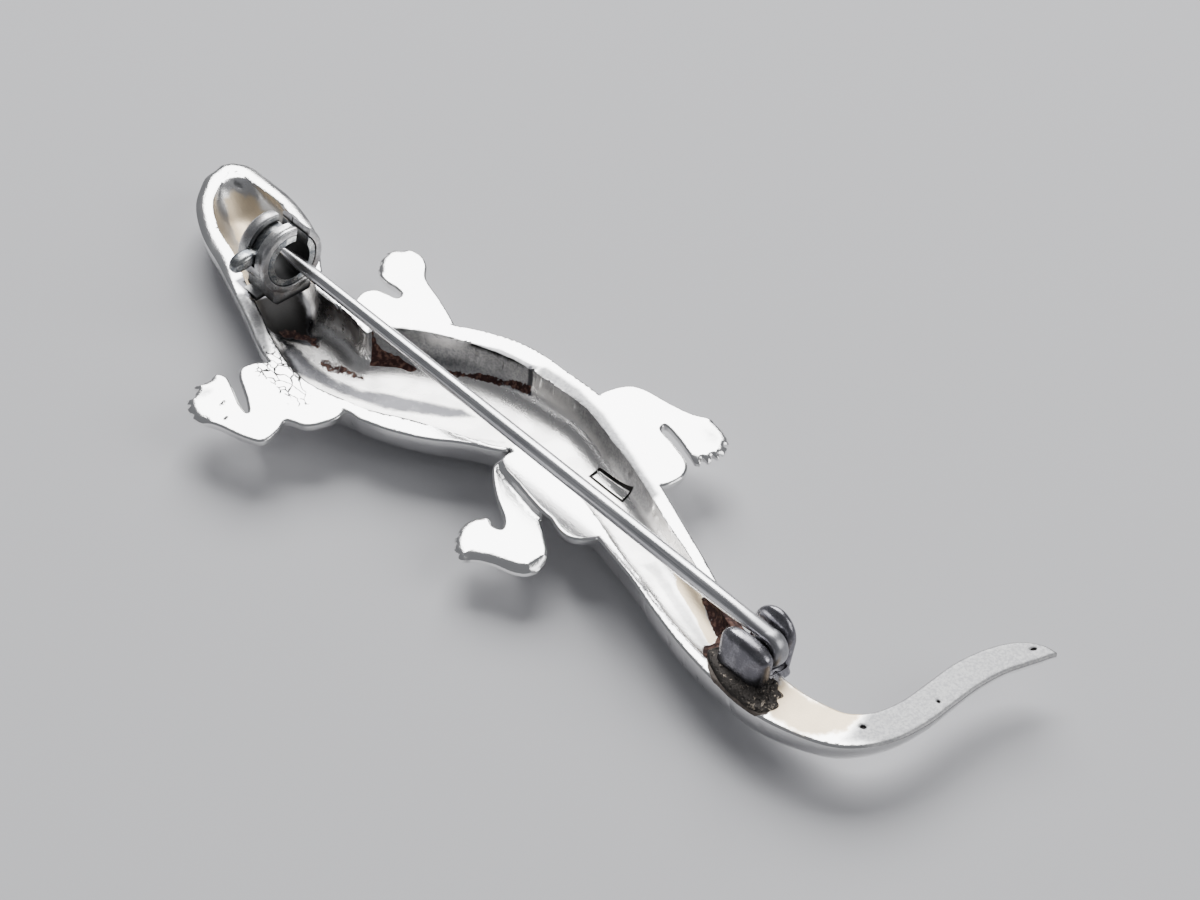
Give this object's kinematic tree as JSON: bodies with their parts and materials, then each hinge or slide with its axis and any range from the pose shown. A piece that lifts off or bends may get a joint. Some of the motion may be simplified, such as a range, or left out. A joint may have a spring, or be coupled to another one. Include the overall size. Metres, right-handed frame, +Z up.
{
  "type": "brooch",
  "caption": "Salamander brooch with an S-curved body, splayed legs and a curved tail, hollow at the back, with a hinged pin and a rolling safety catch.",
  "frame": {"origin": "middle of the bounding box on the floor that the brooch lies on, face down", "axes": "+X along the pin from its hinge to the catch, which is towards the head; +Z up, out of the brooch's back; +Y to the side of the catch's lever"},
  "size_m": [0.0756, 0.0278, 0.009],
  "materials": {
    "cast_silver": "polished cast silver with a soft grey bloom in the hollow, brown at the solder",
    "pin_wire": "drawn wire, satin",
    "sleeve_metal": "tumbled, darkened",
    "rivet_metal": "plain, hidden"
  },
  "bodies": {
    "brooch": {"salamander_body": "cast_silver", "hinge_rivet": "rivet_metal"},
    "pin": {"pin_stem": "pin_wire"},
    "sleeve": {"catch_sleeve": "sleeve_metal"}
  },
  "joints": [
    {"name": "pin_hinge", "type": "hinge", "parent": "brooch", "child": "pin", "pos_m": [-0.02662, 0.0003, 0.00512], "axis": [0, -0.9781, -0.2079], "range_deg": [0, 75]},
    {"name": "catch_roll", "type": "hinge", "parent": "brooch", "child": "sleeve", "pos_m": [0.02328, 0.00076, 0.00641], "axis": [1, 0, 0], "range_deg": [0, 85]}
  ]
}
